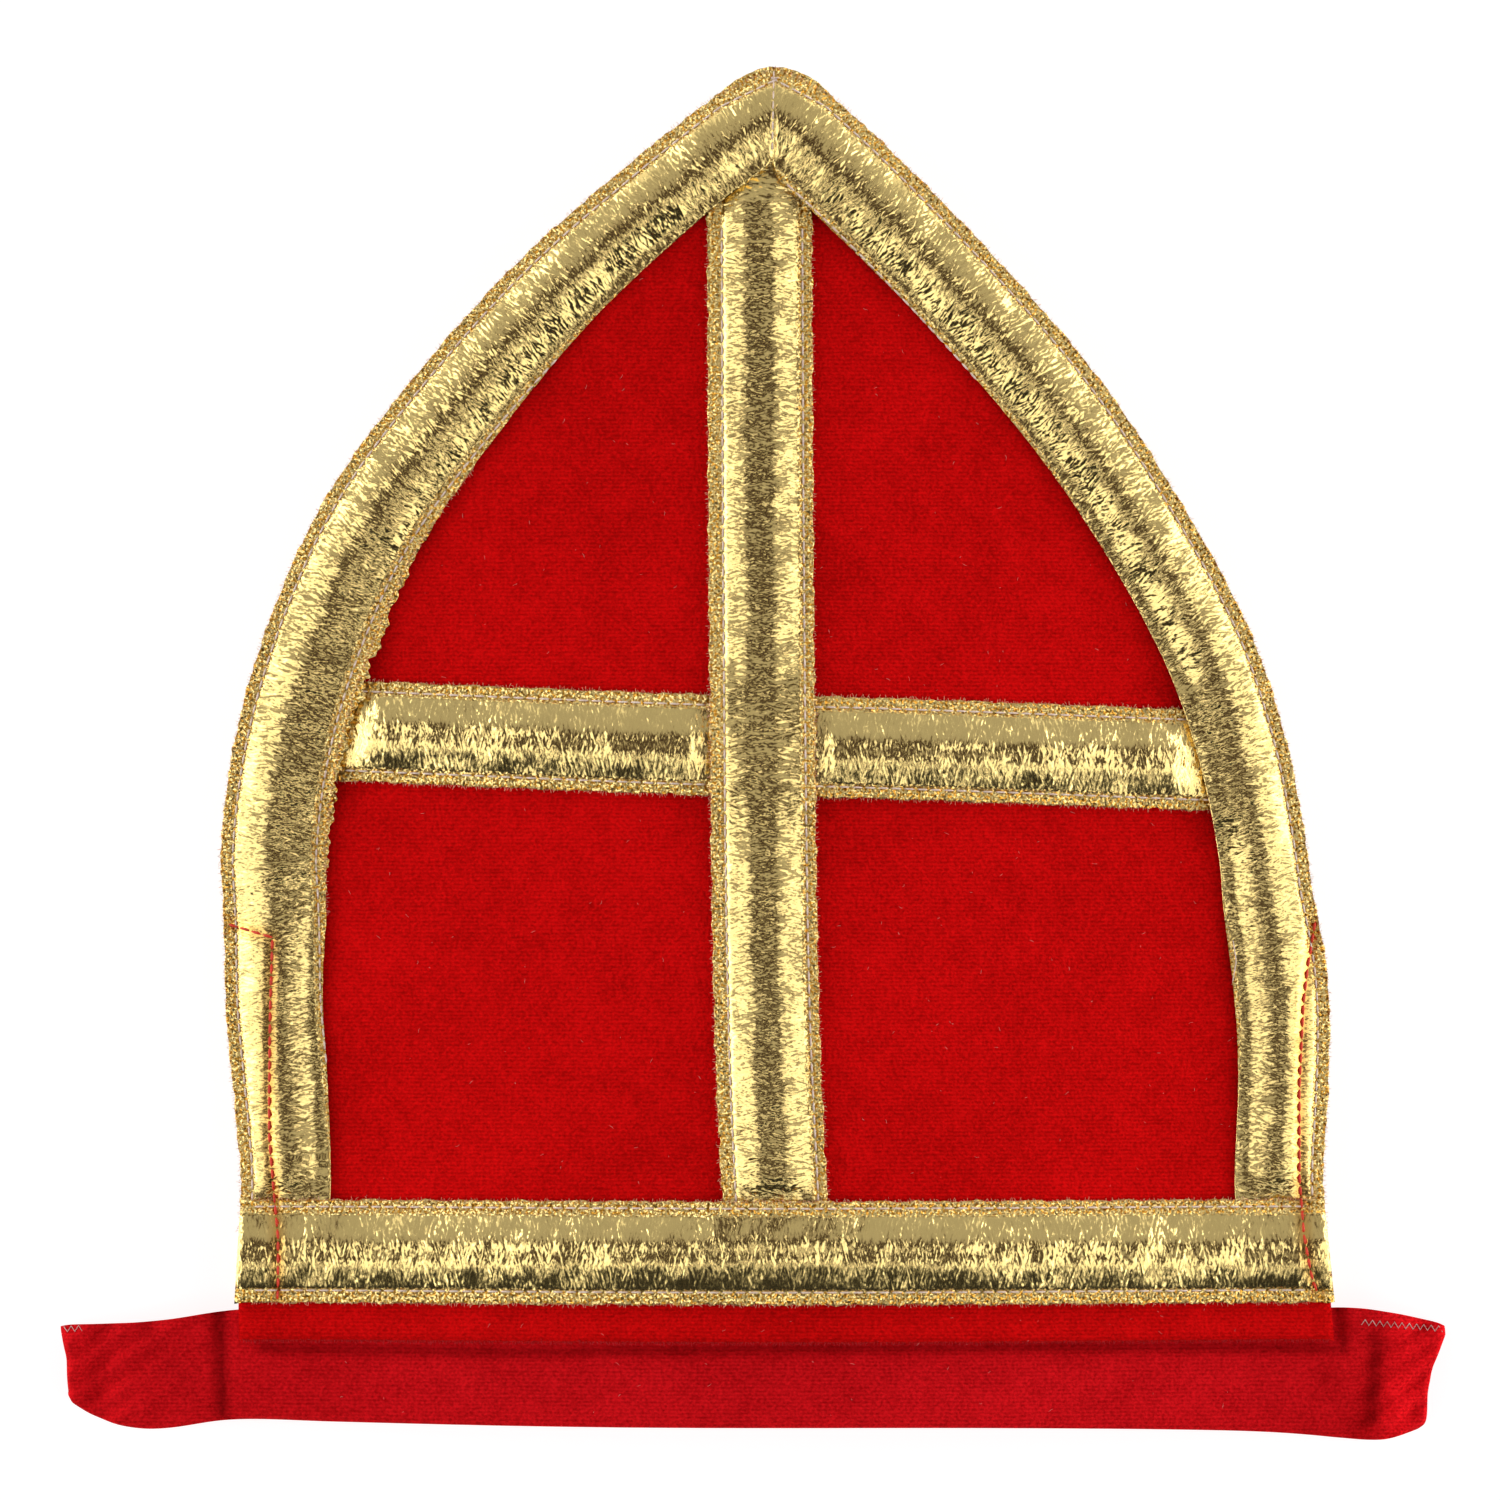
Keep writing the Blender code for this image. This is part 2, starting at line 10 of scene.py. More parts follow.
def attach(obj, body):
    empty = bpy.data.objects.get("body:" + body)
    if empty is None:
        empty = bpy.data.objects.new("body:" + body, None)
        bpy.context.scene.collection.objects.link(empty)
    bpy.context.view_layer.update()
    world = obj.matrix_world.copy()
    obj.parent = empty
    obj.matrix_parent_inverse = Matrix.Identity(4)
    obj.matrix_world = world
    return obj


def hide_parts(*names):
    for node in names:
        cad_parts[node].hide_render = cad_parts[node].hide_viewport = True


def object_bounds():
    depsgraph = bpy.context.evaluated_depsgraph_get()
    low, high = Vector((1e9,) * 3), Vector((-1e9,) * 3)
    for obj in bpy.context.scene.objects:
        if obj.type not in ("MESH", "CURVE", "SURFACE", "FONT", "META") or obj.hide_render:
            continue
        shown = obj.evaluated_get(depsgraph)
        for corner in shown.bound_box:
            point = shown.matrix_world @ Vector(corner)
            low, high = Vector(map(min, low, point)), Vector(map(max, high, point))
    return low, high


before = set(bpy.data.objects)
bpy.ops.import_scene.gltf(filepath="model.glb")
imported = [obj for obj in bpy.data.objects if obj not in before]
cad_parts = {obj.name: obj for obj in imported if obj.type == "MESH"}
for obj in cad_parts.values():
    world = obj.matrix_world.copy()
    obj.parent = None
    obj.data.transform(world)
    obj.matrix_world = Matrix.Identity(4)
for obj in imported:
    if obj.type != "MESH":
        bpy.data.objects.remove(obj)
cad_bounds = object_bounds()

# Front and back panels: red velour cut to the mitre's outline, its foot turned up as a hem.
# The knitted ground shows as faint courses under a short pile that lies unevenly and holds lint.
# Both are sewn together at the sides, and every ribbon is sewn onto them.
FIRM_FOLD = 0.9
FRONT_AREA = 0.0500
BACK_AREA = 0.0500
HEM_ROLL = 0.0020
HEM_RISE = 0.0010
PANEL_SWELL = 0.00008


def cloth_from(node, name, levels):
    """A fine, smooth copy of one cut part, with its firm folds kept sharp."""
    work = bmesh.new()
    work.from_mesh(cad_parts[node].data)
    bmesh.ops.remove_doubles(work, verts=work.verts, dist=1e-6)
    bmesh.ops.join_triangles(
        work, faces=work.faces, angle_face_threshold=0.7, angle_shape_threshold=1.2
    )
    firm = work.edges.layers.float.new("crease_edge")
    for edge in work.edges:
        if edge.is_manifold and edge.calc_face_angle() > FIRM_FOLD:
            edge[firm] = 1.0
    mesh = bpy.data.meshes.new(name)
    work.to_mesh(mesh)
    work.free()
    piece = bpy.data.objects.new(name, mesh)
    bpy.context.scene.collection.objects.link(piece)
    piece.modifiers.new("fine", "SUBSURF").levels = levels
    fine = bpy.data.meshes.new_from_object(
        piece.evaluated_get(bpy.context.evaluated_depsgraph_get())
    )
    piece.modifiers.clear()
    piece.data = fine
    fine.materials.clear()
    return piece


def points_of(piece):
    """The surface's points and their normals."""
    mesh = piece.data
    points = np.empty(len(mesh.vertices) * 3)
    normals = np.empty(len(mesh.vertices) * 3)
    mesh.vertices.foreach_get("co", points)
    mesh.vertex_normals.foreach_get("vector", normals)
    return points.reshape(-1, 3), normals.reshape(-1, 3)


def finish_cloth(piece, points, material, slot, *nodes):
    """Sets the worked points and the finish; slot, which would say what the piece stands for, is not
    used.
    """
    piece.data.vertices.foreach_set("co", points.ravel())
    piece.data.materials.append(material)
    piece.data.shade_smooth()
    piece.data.set_sharp_from_angle(angle=FIRM_FOLD)
    piece.data.update()
    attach(piece, "root")
    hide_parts(*nodes)


def ripple(a, b, waves, seed):
    """An uneven surface from a few sine waves, about 1 high, over two lengths in metres."""
    draw = np.random.default_rng(seed)
    total = np.zeros_like(a)
    for length, tilt in waves:
        turn = 2 * math.pi / (length * draw.uniform(0.8, 1.25))
        lean = draw.uniform(-tilt, tilt)
        total += np.sin(turn * (a + lean * b) + draw.uniform(0, 2 * math.pi))
    return total / math.sqrt(len(waves))


def wire(tree, kind, settings, inputs):
    """Adds a shader node; an input is a value or another node's socket."""
    node = tree.nodes.new("ShaderNode" + kind)
    for key, value in settings.items():
        setattr(node, key, value)
    for key, value in inputs.items():
        if isinstance(value, bpy.types.NodeSocket):
            tree.links.new(value, node.inputs[key])
        else:
            node.inputs[key].default_value = value
    return node


def new_group(name, takes, gives):
    """An empty node group with named sockets."""
    group = bpy.data.node_groups.new(name, "ShaderNodeTree")
    for direction, sockets in (("INPUT", takes), ("OUTPUT", gives)):
        for label, kind in sockets:
            group.interface.new_socket(
                label, in_out=direction, socket_type="NodeSocket" + kind
            )
    return group, group.nodes.new("NodeGroupInput"), group.nodes.new("NodeGroupOutput")


# Painted shade and sheen: the mask is 1 where painted shade makes the pile dark, and -1 where a painted
# sheen makes it bright.
pile, taken, given = new_group(
    "velour_pile",
    [("Place", "Vector"), ("Painted_Shade_And_Sheen", "Float"), ("Deep", "Color"), ("Bright", "Color")],
    [("Colour", "Color"), ("Height", "Float")],
)
nap = wire(pile, "TexNoise", {}, {"Vector": taken.outputs["Place"], "Scale": 170.0, "Detail": 5.0})
lay = wire(pile, "TexNoise", {}, {"Vector": taken.outputs["Place"], "Scale": 28.0, "Detail": 3.0})
tufts = wire(
    pile, "TexNoise", {}, {"Vector": taken.outputs["Place"], "Scale": 1500.0, "Detail": 3.0}
)
courses = wire(
    pile,
    "TexWave",
    {"bands_direction": "Y"},
    {
        "Vector": taken.outputs["Place"],
        "Scale": 390.0,
        "Distortion": 1.2,
        "Detail": 2.0,
        "Detail Scale": 0.4,
    },
)
mixed = wire(pile, "Math", {"operation": "MULTIPLY"}, {0: lay.outputs["Fac"], 1: 0.45})
mixed = wire(
    pile,
    "Math",
    {"operation": "MULTIPLY_ADD"},
    {0: nap.outputs["Fac"], 1: 0.5, 2: mixed.outputs[0]},
)
mixed = wire(
    pile,
    "Math",
    {"operation": "MULTIPLY_ADD"},
    {0: tufts.outputs["Fac"], 1: 1.5, 2: mixed.outputs[0]},
)
mixed = wire(
    pile,
    "Math",
    {"operation": "MULTIPLY_ADD"},
    {0: courses.outputs["Fac"], 1: 0.2, 2: mixed.outputs[0]},
)
shade = wire(
    pile,
    "MapRange",
    {},
    {"Value": mixed.outputs[0], "From Min": 0.97, "From Max": 1.67, "To Min": 0.0, "To Max": 1.0},
)
tone = wire(
    pile,
    "Mix",
    {"data_type": "RGBA"},
    {0: shade.outputs[0], 6: taken.outputs["Deep"], 7: taken.outputs["Bright"]},
)
rise = wire(
    pile,
    "Math",
    {"operation": "MULTIPLY_ADD"},
    {0: courses.outputs["Fac"], 1: 0.25, 2: tufts.outputs["Fac"]},
)
# Painted shade and sheen: the pile's colour is scaled by 1.4 where the mask is -1 (painted sheen), down
# to 0.5 where it is 1 (painted shade).
kept = wire(
    pile,
    "MapRange",
    {},
    {"Value": taken.outputs["Painted_Shade_And_Sheen"], "From Min": -1.0, "To Min": 1.4, "To Max": 0.5},
)
tone = wire(
    pile, "VectorMath", {"operation": "SCALE"}, {0: tone.outputs[2], "Scale": kept.outputs[0]}
)
pile.links.new(tone.outputs[0], given.inputs["Colour"])
pile.links.new(rise.outputs[0], given.inputs["Height"])


def velour(name, deep, bright):
    """Short-piled velour, with the pile's sheen where it is seen side on."""
    material = bpy.data.materials.new(name)
    material.use_nodes = True
    tree = material.node_tree
    shader = tree.nodes["Principled BSDF"]
    place = wire(tree, "TexCoord", {}, {})
    made = tree.nodes.new("ShaderNodeGroup")
    made.node_tree = pile
    tree.links.new(place.outputs["Object"], made.inputs["Place"])
    # Painted shade and sheen: the piece's own map darkens or brightens the pile's colour; a piece
    # without the map reads 0.
    pressed = wire(tree, "UVMap", {"uv_map": "pressed"}, {})
    pressed = wire(tree, "SeparateXYZ", {}, {0: pressed.outputs[0]})
    tree.links.new(pressed.outputs[0], made.inputs["Painted_Shade_And_Sheen"])
    made.inputs["Deep"].default_value = (*deep, 1)
    made.inputs["Bright"].default_value = (*bright, 1)
    tree.links.new(made.outputs["Colour"], shader.inputs["Base Color"])
    bump = wire(
        tree, "Bump", {}, {"Strength": 0.55, "Distance": 0.0006, "Height": made.outputs["Height"]}
    )
    tree.links.new(bump.outputs[0], shader.inputs["Normal"])
    shader.inputs["Roughness"].default_value = 0.9
    shader.inputs["Specular IOR Level"].default_value = 0.02
    shader.inputs["Sheen Weight"].default_value = 0.2
    shader.inputs["Sheen Roughness"].default_value = 0.4
    shader.inputs["Sheen Tint"].default_value = (1.0, 0.06, 0.05, 1)
    return material


panel_red = velour("red_velour", (0.40, 0.0014, 0.0012), (0.79, 0.0038, 0.0044))
for side, area, seed in (("front", FRONT_AREA, 3), ("back", BACK_AREA, 4)):
    panel = cloth_from(side + "_panel", side + "_panel_velour", 2)
    points, normals = points_of(panel)
    swell = ripple(points[:, 0], points[:, 1], [(0.02, 0.5), (0.03, 1.0), (0.014, 2.0)], seed)
    points[:, 2] += PANEL_SWELL * swell * (np.abs(normals[:, 2]) > 0.5)
    if side == "front":
        foot = points[:, 1].min()
        roll = np.exp(-(((points[:, 1] - foot - HEM_ROLL) / HEM_ROLL) ** 2))
        points[:, 2] += HEM_RISE * roll * (normals[:, 2] > 0.2)
    finish_cloth(panel, points, panel_red, "panel_velour", side + "_panel")

# Ribbons: gold foil pressed on a knit, padded underneath and sewn down along both edges.
# The foil is creased across by the padding, and grainy on the flat edges outside the stitches.
# Crossbars go on first, then the uprights, the arches mitred at the point, and the base ribbons.
ARCH_WIDTH = 0.0225
STITCH_INSETS = {
    "crossbar": (0.0024, 0.0023),
    "upright": (0.0031, 0.0021),
    "arch_ribbon": (0.0026, 0.0019),
    "base_ribbon": (0.0027, 0.0015),
}
PAD_INSET = 0.0028
STITCH_PITCH = 0.0028
GROOVE_DEPTH = 0.00035
GROOVE_SPREAD = 0.0005
ROW_REACH = 0.0035
PAD_SLOPE = 0.0030
FINE_WRINKLE = 0.00005
SLOW_SWELL = 0.00020
CROWN = 0.0003
EDGE_WANDER = 0.0002
EDGE_REACH = 0.0012
GLOW_SPREAD = 0.0016
THREAD_RADIUS = 0.00021
STITCH_BOW = 0.00024
STITCH_SINK = 0.00008
FRAY_PITCH = 0.0005
FRAY_LENGTH = 0.0009
FRAY_RADIUS = 0.00007
NUDGE = 1e-5
CROWN_INSET = 0.0087
CROWN_SPREAD = 0.0022
ARCH_CROWN = 0.0012
ARCH_CROWN_INSET = 0.0095
ARCH_CROWN_SPREADS = (0.0055, 0.0058)
FOOT_TOP = 0.0120
FLAT_EDGE = (0.0026, 0.0036)
CREASE_LEAN = 0.24
# How fine the foil's creases, folds, grain and crumbs are, along and across the ribbon.
CREASES = (1750.0, 360.0)
FOLDS = (300.0, 110.0)
GRAINS = (1700.0, 1300.0)
CRUMBS = (1500.0, 1500.0)

foil, taken, given = new_group(
    "foil_on_knit",
    [
        ("Along", "Vector"),
        ("Inset", "Float"),
        ("Seam", "Float"),
        ("Gold", "Color"),
        ("Orange", "Color"),
    ],
    [("Colour", "Color"), ("Roughness", "Float"), ("Tilt", "Color")],
)


def noise_at(tree, place, along, across, detail):
    """Noise over the ribbon, with its own fineness along and across."""
    scaled = wire(
        tree, "VectorMath", {"operation": "MULTIPLY"}, {0: place, 1: (along, across, 1.0)}
    )
    return wire(
        tree,
        "TexNoise",
        {"noise_dimensions": "2D"},
        {"Vector": scaled.outputs[0], "Scale": 1.0, "Detail": detail},
    )


leaning = []
for lean in (CREASE_LEAN, -CREASE_LEAN):
    parts = wire(foil, "SeparateXYZ", {}, {0: taken.outputs["Along"]})
    skewed = wire(
        foil,
        "Math",
        {"operation": "MULTIPLY_ADD"},
        {0: parts.outputs[1], 1: lean, 2: parts.outputs[0]},
    )
    joined = wire(foil, "CombineXYZ", {}, {0: skewed.outputs[0], 1: parts.outputs[1]})
    leaning.append(noise_at(foil, joined.outputs[0], *CREASES, 4.0))
choice = noise_at(foil, taken.outputs["Along"], 420.0, 260.0, 1.0)
choice = wire(
    foil,
    "MapRange",
    {},
    {"Value": choice.outputs["Fac"], "From Min": 0.44, "From Max": 0.56},
)
creases = wire(
    foil,
    "Mix",
    {"data_type": "RGBA"},
    {0: choice.outputs[0], 6: leaning[0].outputs["Color"], 7: leaning[1].outputs["Color"]},
)
folds = noise_at(foil, taken.outputs["Along"], *FOLDS, 1.0)
grain = noise_at(foil, taken.outputs["Along"], *GRAINS, 2.0)
flat_edge = wire(
    foil,
    "MapRange",
    {},
    {
        "Value": taken.outputs["Inset"],
        "From Min": FLAT_EDGE[0],
        "From Max": FLAT_EDGE[1],
        "To Min": 1.0,
        "To Max": 0.0,
    },
)
grainy = wire(foil, "MapRange", {}, {"Value": flat_edge.outputs[0], "To Min": 0.28, "To Max": 1.0})
fine_tilt = wire(
    foil,
    "Mix",
    {"data_type": "RGBA"},
    {0: grainy.outputs[0], 6: creases.outputs[2], 7: grain.outputs["Color"]},
)
tilt = wire(
    foil,
    "VectorMath",
    {"operation": "MULTIPLY_ADD"},
    {0: fine_tilt.outputs[2], 1: (1.0, 0.40, 0.0), 2: (-0.50, -0.20, 1.0)},
)
wide = wire(
    foil,
    "VectorMath",
    {"operation": "MULTIPLY_ADD"},
    {0: folds.outputs["Color"], 1: (0.14, 0.10, 0.0), 2: (0.43, 0.45, 0.0)},
)
tilt = wire(foil, "VectorMath", {"operation": "ADD"}, {0: tilt.outputs[0], 1: wide.outputs[0]})
crumbs = noise_at(foil, taken.outputs["Along"], *CRUMBS, 3.0)
crumbs = wire(
    foil,
    "VectorMath",
    {"operation": "MULTIPLY_ADD"},
    {0: crumbs.outputs["Color"], 1: (2.0, 2.2, 0.0), 2: (-1.0, -1.1, 0.0)},
)
crumbs = wire(
    foil, "VectorMath", {"operation": "SCALE"}, {0: crumbs.outputs[0], "Scale": flat_edge.outputs[0]}
)
tilt = wire(foil, "VectorMath", {"operation": "ADD"}, {0: tilt.outputs[0], 1: crumbs.outputs[0]})
speck = wire(
    foil,
    "MapRange",
    {},
    {"Value": grain.outputs["Fac"], "From Min": 0.5, "From Max": 0.58, "To Min": 0.0, "To Max": 1.0},
)
speck = wire(
    foil, "Math", {"operation": "MULTIPLY"}, {0: speck.outputs[0], 1: flat_edge.outputs[0]}
)
glow = wire(
    foil, "Math", {"operation": "MULTIPLY"}, {0: 0.65, 1: taken.outputs["Seam"]}
)
speck = wire(foil, "Math", {"operation": "MAXIMUM"}, {0: speck.outputs[0], 1: glow.outputs[0]})
tone = wire(
    foil,
    "Mix",
    {"data_type": "RGBA"},
    {0: speck.outputs[0], 6: taken.outputs["Gold"], 7: taken.outputs["Orange"]},
)
rough = wire(
    foil,
    "MapRange",
    {},
    {"Value": flat_edge.outputs[0], "To Min": 0.24, "To Max": 0.30},
)
worn = wire(
    foil, "MapRange", {}, {"Value": flat_edge.outputs[0], "To Min": 1.0, "To Max": 0.88}
)
tone = wire(
    foil, "VectorMath", {"operation": "SCALE"}, {0: tone.outputs[2], "Scale": worn.outputs[0]}
)
foil.links.new(tone.outputs[0], given.inputs["Colour"])
foil.links.new(rough.outputs[0], given.inputs["Roughness"])
foil.links.new(tilt.outputs[0], given.inputs["Tilt"])

gold = bpy.data.materials.new("gold_foil_ribbon")
gold.use_nodes = True
tree = gold.node_tree
shader = tree.nodes["Principled BSDF"]
run_map = wire(tree, "UVMap", {"uv_map": "run"}, {})
edge_map = wire(tree, "UVMap", {"uv_map": "edge"}, {})
edge_parts = wire(tree, "SeparateXYZ", {}, {0: edge_map.outputs[0]})
made = tree.nodes.new("ShaderNodeGroup")
made.node_tree = foil
tree.links.new(run_map.outputs[0], made.inputs["Along"])
tree.links.new(edge_parts.outputs[0], made.inputs["Inset"])
tree.links.new(edge_parts.outputs[1], made.inputs["Seam"])
made.inputs["Gold"].default_value = (0.81, 0.61, 0.23, 1)
made.inputs["Orange"].default_value = (0.66, 0.32, 0.04, 1)
creased = wire(
    tree, "NormalMap", {"uv_map": "run"}, {"Strength": 1.0, "Color": made.outputs["Tilt"]}
)
tree.links.new(made.outputs["Colour"], shader.inputs["Base Color"])
tree.links.new(made.outputs["Roughness"], shader.inputs["Roughness"])
tree.links.new(creased.outputs[0], shader.inputs["Normal"])
shader.inputs["Metallic"].default_value = 1.0


def smoothed(values, reach):
    """A running mean that keeps the ends."""
    padded = np.pad(np.asarray(values), (reach, reach), "edge")
    return np.convolve(padded, np.ones(2 * reach + 1) / (2 * reach + 1), "valid")


class StraightRun:
    """The path of a straight ribbon, from its own two edges; axis is the way it runs."""

    def __init__(self, points, axis, start, end):
        along, across = points[:, axis], points[:, 1 - axis]
        self.axis = axis
        self.at = np.arange(start, end, 0.002)
        near = [across[np.abs(along - s) < ROW_REACH] for s in self.at]
        self.low = smoothed([n.min() for n in near], 2)
        self.high = smoothed([n.max() for n in near], 2)
        self.ends = (start, end)

    def read(self, points):
        """Length along, and distance from the two edges."""
        along, across = points[:, self.axis], points[:, 1 - self.axis]
        return (
            along,
            across - np.interp(along, self.at, self.low),
            np.interp(along, self.at, self.high) - across,
        )

    def place(self, along, inset, from_high):
        """The point at a length along and an inset from one edge."""
        if from_high:
            across = np.interp(along, self.at, self.high) - inset
        else:
            across = np.interp(along, self.at, self.low) + inset
        return (along, across) if self.axis == 0 else (across, along)


class ArchRun:
    """The path of an arch ribbon: up the left side of the outline, over the point, down the right."""

    def __init__(self, points):
        top = points[points[:, 1].argmax()]
        rows = np.arange(points[:, 1].min() + 0.002, top[1] - 0.001, 0.002)
        near = [points[np.abs(points[:, 1] - y) < ROW_REACH] for y in rows]
        left = np.unique([n[n[:, 0].argmin(), 1::-1] for n in near], axis=0)[:, ::-1]
        right = np.unique([n[n[:, 0].argmax(), 1::-1] for n in near], axis=0)[:, ::-1]
        for outline in (left, right):
            outline[:, 0] = smoothed(outline[:, 0], 1)
            outline[:, 1] = smoothed(outline[:, 1], 1)
        self.path = np.vstack([left, top[None, :2], right[::-1]])
        self.steps = np.diff(self.path, axis=0)
        self.lengths = np.linalg.norm(self.steps, axis=1)
        self.starts = np.concatenate([[0.0], np.cumsum(self.lengths)])
        self.ends = (0.0, self.starts[-1])

    def read(self, points):
        """Length along the outline, and distance from its two edges."""
        along, inset = [], []
        for block in np.array_split(points[:, :2], max(1, len(points) // 4000)):
            apart = block[:, None, :] - self.path[None, :-1, :]
            share = (apart * self.steps).sum(2) / self.lengths**2
            share = np.clip(share, 0.0, 1.0)
            gap = np.linalg.norm(apart - share[:, :, None] * self.steps, axis=2)
            nearest = gap.argmin(1)
            row = np.arange(len(block))
            along.append(self.starts[nearest] + share[row, nearest] * self.lengths[nearest])
            inset.append(gap[row, nearest])
        inset = np.concatenate(inset)
        return np.concatenate(along), inset, ARCH_WIDTH - inset

    def place(self, along, inset, from_high):
        """The point at a length along the outline, that far in from the outer or inner edge."""
        inset = ARCH_WIDTH - inset if from_high else inset
        x = np.interp(along, self.starts, self.path[:, 0])
        y = np.interp(along, self.starts, self.path[:, 1])
        i = min(max(int(np.searchsorted(self.starts, along)) - 1, 0), len(self.steps) - 1)
        out = self.steps[i] / self.lengths[i]
        return x + out[1] * inset, y - out[0] * inset


def lay_map(piece, name, pairs):
    """Writes a UV map from one pair of lengths for each point."""
    corners = np.empty(len(piece.data.loops), int)
    piece.data.loops.foreach_get("vertex_index", corners)
    piece.data.uv_layers.new(name=name).data.foreach_set("uv", pairs[corners].ravel())


def tubes(name, lines, radius, sides, material):
    """Lengths of thread: a tube along each line of points, thinner at its two ends."""
    points, faces = [], []
    for line in lines:
        line = [Vector(p) for p in line]
        first = len(points)
        for i, middle in enumerate(line):
            ahead = (line[min(i + 1, len(line) - 1)] - line[max(i - 1, 0)]).normalized()
            beside = ahead.cross(Vector((0, 0, 1)))
            beside = beside.normalized() if beside.length > 0.01 else Vector((1, 0, 0))
            above = beside.cross(ahead)
            wide = radius * (0.55 if i in (0, len(line) - 1) else 1.0)
            for k in range(sides):
                turn = 2 * math.pi * k / sides
                points.append(middle + wide * (math.cos(turn) * beside + math.sin(turn) * above))
        for i in range(len(line) - 1):
            for k in range(sides):
                a, b = first + i * sides + k, first + i * sides + (k + 1) % sides
                faces.append((a, b, b + sides, a + sides))
        faces.append(tuple(range(first, first + sides))[::-1])
        faces.append(tuple(range(len(points) - sides, len(points))))
    mesh = bpy.data.meshes.new(name)
    mesh.from_pydata(points, [], faces)
    mesh.materials.append(material)
    mesh.shade_smooth()
    piece = bpy.data.objects.new(name, mesh)
    bpy.context.scene.collection.objects.link(piece)
    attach(piece, "root")
    return piece


thread = bpy.data.materials.new("pale_sewing_thread")
thread.use_nodes = True
shader = thread.node_tree.nodes["Principled BSDF"]
place = wire(thread.node_tree, "TexCoord", {}, {})
twist = wire(
    thread.node_tree,
    "TexNoise",
    {},
    {"Vector": place.outputs["Object"], "Scale": 900.0, "Detail": 2.0},
)
tone = wire(
    thread.node_tree,
    "Mix",
    {"data_type": "RGBA"},
    {0: twist.outputs["Fac"], 6: (0.66, 0.44, 0.32, 1), 7: (0.95, 0.84, 0.74, 1)},
)
thread.node_tree.links.new(tone.outputs[2], shader.inputs["Base Color"])
shader.inputs["Roughness"].default_value = 0.6

MITRE_X = -0.00205
MITRE_FOOT = 0.2350
LEFT_SEAM = (
    (-119.6, 70.3), (-110.1, 67.5), (-110.6, 51.9), (-110.8, 35.9), (-110.8, 24.7),
    (-109.7, 11.9), (-108.8, 3.1), (-108.8, -7.3), (-109.0, -12.1),
)
RIGHT_SEAM = (
    (114.7, 70.9), (113.1, 61.4), (112.1, 53.4), (111.2, 35.1), (111.2, 15.8),
    (112.1, 3.1), (113.6, -4.9), (115.5, -10.5),
)
SEAM_DEPTH = 0.0005
SEAM_SPREAD = 0.0011


def walk(corners, step):
    """Evenly spaced points along a line of corners given in millimetres."""
    corners = np.array(corners) / 1000.0
    lengths = np.linalg.norm(np.diff(corners, axis=0), axis=1)
    at = np.concatenate([[0.0], np.cumsum(lengths)])
    t = np.arange(0.0, at[-1], step)
    return np.column_stack([np.interp(t, at, corners[:, 0]), np.interp(t, at, corners[:, 1])])


def near_line(points, corners, spread):
    """1 on a line, falling to 0 away from it."""
    dip = np.zeros(len(points))
    for x, y in walk(corners, 0.0008):
        away = np.hypot(points[:, 0] - x, points[:, 1] - y)
        dip = np.maximum(dip, np.exp(-((away / spread) ** 2)))
    return dip


def pulled_in(points):
    """How far the thread of the side seams and of the mitre pulls the foil down."""
    dip = np.maximum(
        near_line(points, LEFT_SEAM, SEAM_SPREAD), near_line(points, RIGHT_SEAM, SEAM_SPREAD)
    )
    mitre = np.exp(-(((points[:, 0] - MITRE_X) / 0.0006) ** 2)) * (points[:, 1] > MITRE_FOOT)
    return SEAM_DEPTH * np.maximum(dip, 0.7 * mitre)


def plain(name, colour, roughness):
    """A fibre's material, lighter and darker along it."""
    material = bpy.data.materials.new(name)
    material.use_nodes = True
    shader = material.node_tree.nodes["Principled BSDF"]
    place = wire(material.node_tree, "TexCoord", {}, {})
    uneven = wire(
        material.node_tree, "TexNoise", {}, {"Vector": place.outputs["Object"], "Scale": 700.0}
    )
    dark = tuple(0.55 * c for c in colour)
    tone = wire(
        material.node_tree,
        "Mix",
        {"data_type": "RGBA"},
        {0: uneven.outputs["Fac"], 6: (*dark, 1), 7: (*colour, 1)},
    )
    material.node_tree.links.new(tone.outputs[2], shader.inputs["Base Color"])
    shader.inputs["Roughness"].default_value = roughness
    return material


def fibres(name, roots, ways, length, radius, seed, material):
    """Loose fibres that stand out from their roots and curl a little."""
    draw = np.random.default_rng(seed)
    lines = []
    for root, way in zip(roots, ways):
        way = (Vector(way) + Vector(draw.normal(0.0, 0.45, 3))).normalized()
        bend = Vector(draw.normal(0.0, 0.35, 3))
        reach = length * draw.uniform(0.4, 1.3)
        root = Vector(root)
        lines.append(
            [root, root + way * reach * 0.5, root + (way + bend * 0.5).normalized() * reach]
        )
    return tubes(name, lines, radius, 3, material)


def seed_of(name):
    """A seed of its own for each ribbon."""
    return sum(map(ord, name))


def surface_at(node, x, y, up):
    """The place on a ribbon's outer face, or None beside it."""
    return surfaces[node].ray_cast(Vector((x, y, up)), Vector((0, 0, -up)))[0]


def stitches_of(node, run, inset, from_high, up):
    """One row of stitches, left out where the ribbon's own edge runs elsewhere."""
    stitches = []
    for i in range(int((run.ends[1] - run.ends[0]) / STITCH_PITCH)):
        line = []
        for share in (0.0, 0.25, 0.5, 0.75, 1.0):
            t = run.ends[0] + (i + 0.12 + 0.76 * share) * STITCH_PITCH
            hit = surface_at(node, *run.place(t, inset, from_high), up)
            if hit is None:
                break
            bow = STITCH_BOW * math.sin(math.pi * share) - STITCH_SINK
            line.append(hit + Vector((0, 0, up * bow)))
        if len(line) < 5:
            continue
        found = run.read(np.array([line[2]]))[2 if from_high else 1][0]
        if abs(found - inset) < 0.0004:
            stitches.append(line)
    return stitches


